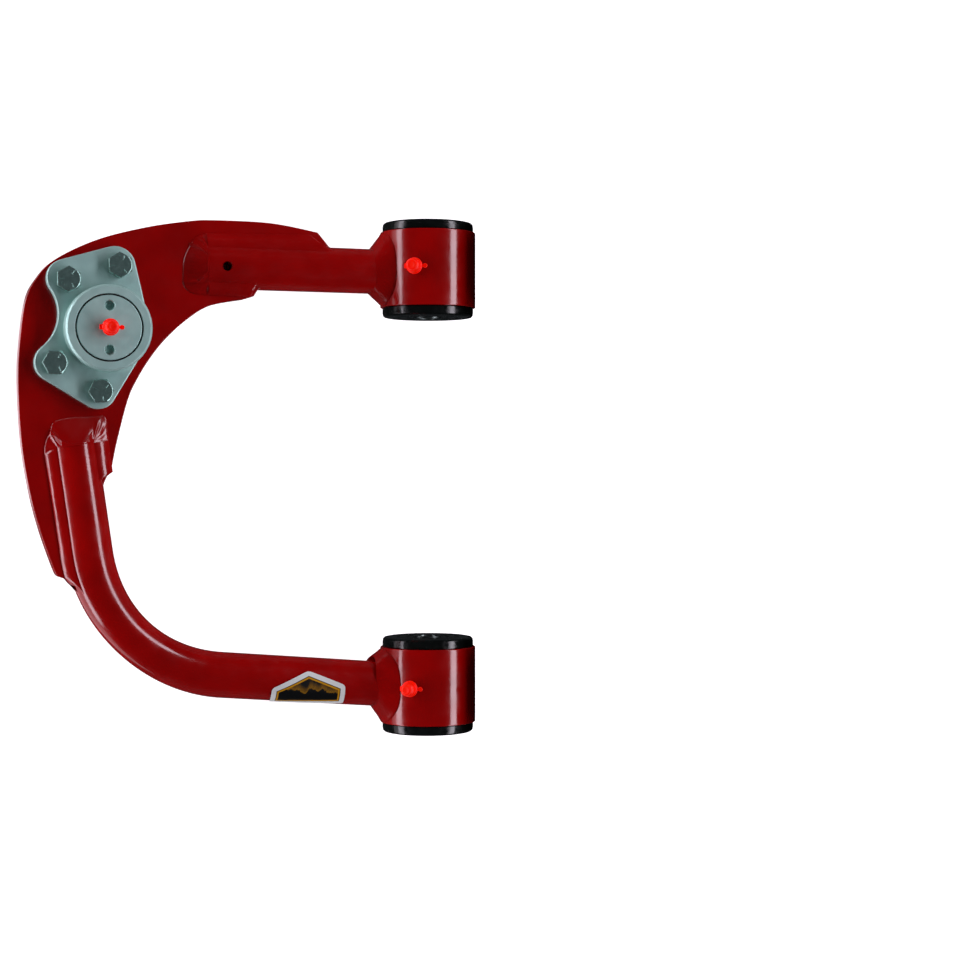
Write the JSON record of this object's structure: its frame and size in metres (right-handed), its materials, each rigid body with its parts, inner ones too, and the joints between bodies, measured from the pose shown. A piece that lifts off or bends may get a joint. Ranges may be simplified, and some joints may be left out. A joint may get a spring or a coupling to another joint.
{
  "type": "upper control arm",
  "caption": "Welded tube-and-plate upper control arm with bushed pivot sleeves, a bolt-on greasable ball joint, a castle nut and pull-off grease caps.",
  "frame": {"origin": "midpoint of the pivot axis, halfway between the two bushing sleeves", "axes": "+Y along the pivot axis towards the front bushing, -X outboard to the ball joint, +Z along the plate's normal, away from the stud"},
  "size_m": [0.3012, 0.34, 0.1315],
  "materials": {
    "powder_coat": "deep red gloss powder coat over steel, faint orange peel",
    "machined_steel": "satin nickel-grey plate over turned steel",
    "zinc_plate": "bright zinc plate",
    "plated_steel": "clear zinc-plated steel",
    "forged_steel": "ground and phosphated forging",
    "polyurethane": "glossy moulded black polyurethane",
    "black_rubber": "matt moulded black rubber",
    "orange_plastic": "moulded orange-red polyethylene",
    "acetal": "natural acetal",
    "badge_film": "laminated film sticker, white border round a dark field"
  },
  "bodies": {
    "arm": {"main_plate": "powder_coat", "front_bushing_sleeve": "powder_coat", "front_tube": "powder_coat", "front_end_plate_top": "powder_coat", "front_end_plate_bottom": "powder_coat", "front_tube_weld_top": "powder_coat", "front_tube_weld_bottom": "powder_coat", "front_sleeve_weld": "powder_coat", "front_bushing_fore_half": "polyurethane", "front_bushing_aft_half": "polyurethane", "rear_bushing_sleeve": "powder_coat", "rear_tube": "powder_coat", "rear_end_plate_top": "powder_coat", "rear_end_plate_bottom": "powder_coat", "rear_tube_weld_top": "powder_coat", "rear_tube_weld_bottom": "powder_coat", "rear_sleeve_weld": "powder_coat", "rear_bushing_fore_half": "polyurethane", "rear_bushing_aft_half": "polyurethane", "front_grease_fitting": "zinc_plate", "front_check_ball": "plated_steel", "rear_grease_fitting": "zinc_plate", "rear_check_ball": "plated_steel", "ball_joint_grease_fitting": "zinc_plate", "ball_joint_check_ball": "plated_steel", "ball_joint_housing": "machined_steel", "ball_joint_screw_cap": "machined_steel", "screw_cap_seal": "black_rubber", "bearing_cup_upper": "acetal", "bearing_cup_lower": "acetal", "boot_collar": "black_rubber", "boot_ring_upper": "plated_steel", "flange_bolt_1": "zinc_plate", "flange_washer_1": "zinc_plate", "flange_nut_1": "zinc_plate", "flange_bolt_2": "zinc_plate", "flange_washer_2": "zinc_plate", "flange_nut_2": "zinc_plate", "flange_bolt_3": "zinc_plate", "flange_washer_3": "zinc_plate", "flange_nut_3": "zinc_plate", "flange_bolt_4": "zinc_plate", "flange_washer_4": "zinc_plate", "flange_nut_4": "zinc_plate", "badge_label": "badge_film"},
    "front_crush_sleeve": {"front_crush_sleeve": "plated_steel"},
    "rear_crush_sleeve": {"rear_crush_sleeve": "plated_steel"},
    "front_grease_cap": {"front_grease_cap": "orange_plastic"},
    "rear_grease_cap": {"rear_grease_cap": "orange_plastic"},
    "ball_joint_grease_cap": {"ball_joint_grease_cap": "orange_plastic"},
    "boot_waist": {"boot_waist": "black_rubber"},
    "boot_cone": {"boot_cone": "black_rubber", "boot_ring_lower": "plated_steel"},
    "stud": {"ball_stud": "forged_steel", "castle_nut": "zinc_plate", "cotter_pin": "plated_steel"}
  },
  "joints": [
    {"name": "front_crush_sleeve_turn", "type": "hinge", "parent": "arm", "child": "front_crush_sleeve", "pos_m": [0, 0.1378, 0], "axis": [0, 1, 0], "continuous": true},
    {"name": "rear_crush_sleeve_turn", "type": "hinge", "parent": "arm", "child": "rear_crush_sleeve", "pos_m": [0, -0.1378, 0], "axis": [0, 1, 0], "continuous": true},
    {"name": "ball_tilt_fore_aft", "type": "hinge", "parent": "arm", "child": "boot_waist", "pos_m": [-0.2156, 0.0934, -0.002], "axis": [1, 0, 0], "range_deg": [-18, 18]},
    {"name": "ball_tilt_in_out", "type": "hinge", "parent": "boot_waist", "child": "boot_cone", "pos_m": [-0.2156, 0.0934, -0.002], "axis": [0, 1, 0], "range_deg": [-18, 18]},
    {"name": "ball_stud_turn", "type": "hinge", "parent": "boot_cone", "child": "stud", "pos_m": [-0.2156, 0.0934, -0.002], "axis": [0, 0, 1], "continuous": true},
    {"name": "front_grease_cap_pull", "type": "slide", "parent": "arm", "child": "front_grease_cap", "axis": [-0.5446, 0, 0.8387], "range_m": [0, 0.014]},
    {"name": "rear_grease_cap_pull", "type": "slide", "parent": "arm", "child": "rear_grease_cap", "axis": [-0.6157, 0, 0.788], "range_m": [0, 0.014]},
    {"name": "ball_joint_grease_cap_pull", "type": "slide", "parent": "arm", "child": "ball_joint_grease_cap", "axis": [0, 0, 1], "range_m": [0, 0.014]}
  ]
}
